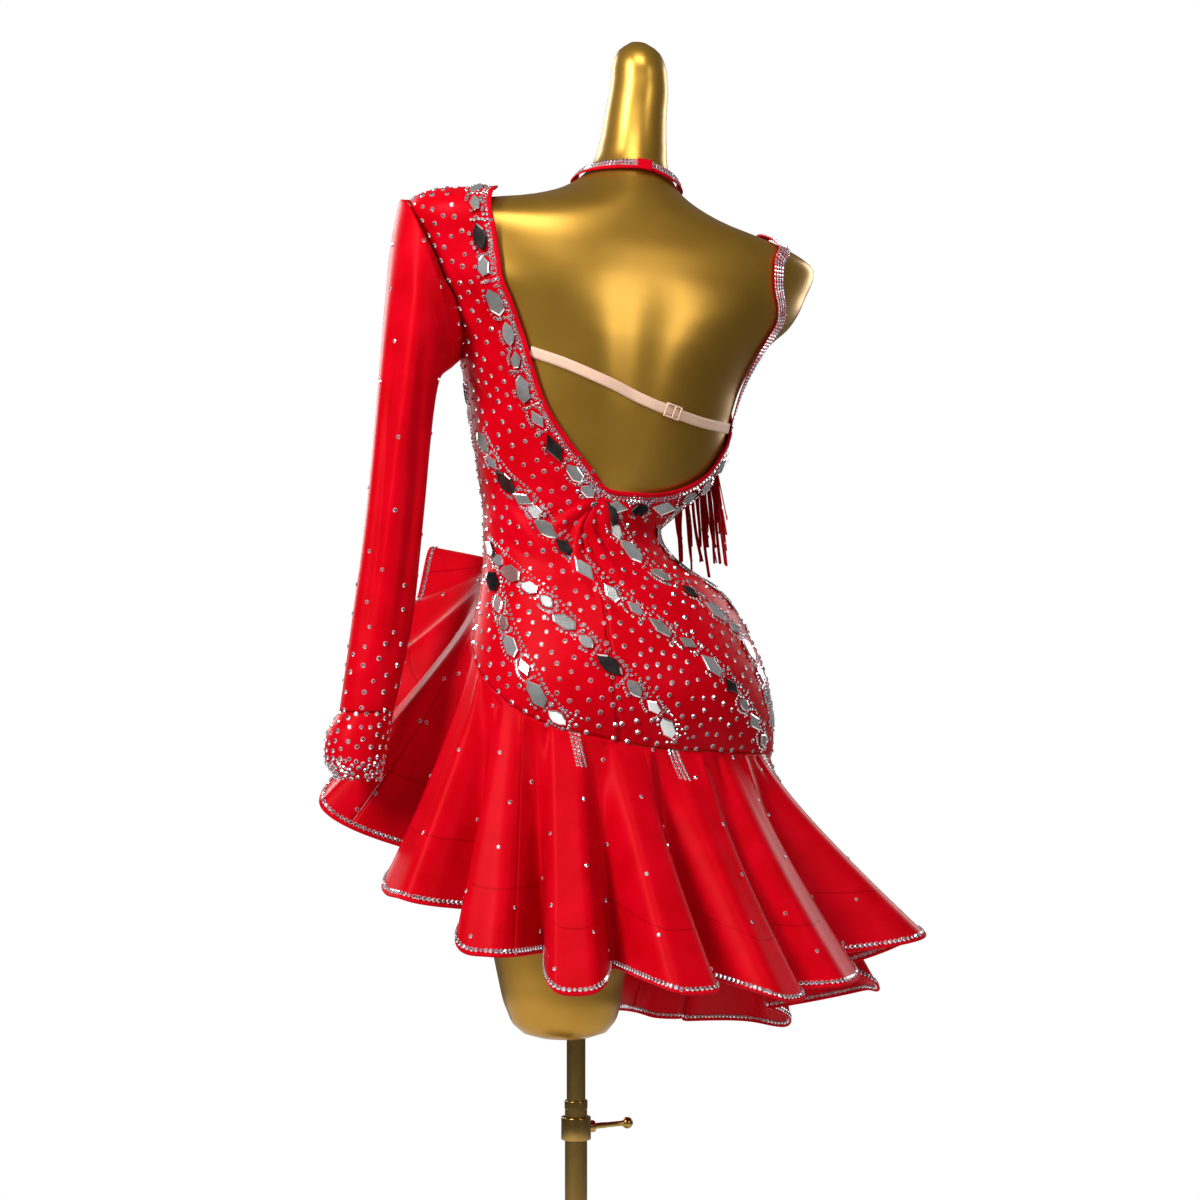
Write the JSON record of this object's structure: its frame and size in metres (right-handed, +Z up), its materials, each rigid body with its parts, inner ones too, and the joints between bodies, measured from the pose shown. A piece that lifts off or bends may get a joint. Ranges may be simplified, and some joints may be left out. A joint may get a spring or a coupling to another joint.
{
  "type": "salsa dance dress on a limbless dress form",
  "caption": "One-sleeved salsa dress with an open back, crystal and mirror trim and a pleated flounce, worn by a gold dress form on a sliding stand.",
  "frame": {"origin": "centre of the underside of the round base disc, where it stands on the floor", "axes": "+Z up along the mast; the front of the dress faces -Y; the wearer's left, the sleeved side, is +X"},
  "size_m": [0.6395, 0.5032, 1.6168],
  "materials": {
    "red_satin": "satin",
    "red_binding": "matte",
    "red_fringe": "satin",
    "stone_trim": "gloss",
    "nude_elastic": "matte",
    "clear_slider": "gloss",
    "mirror_stone": "polished",
    "crystal": "polished",
    "gold_form": "satin",
    "gold_tube": "polished",
    "base_iron": "satin"
  },
  "bodies": {
    "stand": {"base_disc": "base_iron", "tube_socket": "gold_tube", "mast_outer": "gold_tube", "clamp_collar": "gold_tube"},
    "mannequin": {"mast_inner": "gold_tube", "dress_form": "gold_form", "back_left_panel": "red_satin", "back_right_panel": "red_satin", "back_zip": "red_satin", "front_panel": "red_satin", "front_right_hip": "red_satin", "right_cup": "red_satin", "sleeve_left": "red_satin", "sleeve_cuff": "red_satin", "flounce_godet_1": "red_satin", "flounce_godet_2": "red_satin", "flounce_godet_3": "red_satin", "flounce_godet_4": "red_satin", "flounce_godet_5": "red_satin", "flounce_godet_6": "red_satin", "flounce_godet_7": "red_satin", "flounce_godet_8": "red_satin", "scoop_binding": "red_binding", "cut_out_binding": "red_binding", "shoulder_strap": "stone_trim", "elastic_strap": "nude_elastic", "elastic_slider": "clear_slider", "neckband": "stone_trim", "neckband_tab": "red_binding", "fringe": "red_fringe"},
    "screw": {"clamp_screw": "gold_tube"}
  },
  "joints": [
    {"name": "mast_height", "type": "slide", "parent": "stand", "child": "mannequin", "axis": [0, 0, 1], "range_m": [-0.055, 0.2]},
    {"name": "clamp_turn", "type": "hinge", "parent": "stand", "child": "screw", "pos_m": [-0.0394, -0.00695, 0.4625], "axis": [-0.9848, -0.1736, 0], "continuous": true}
  ]
}
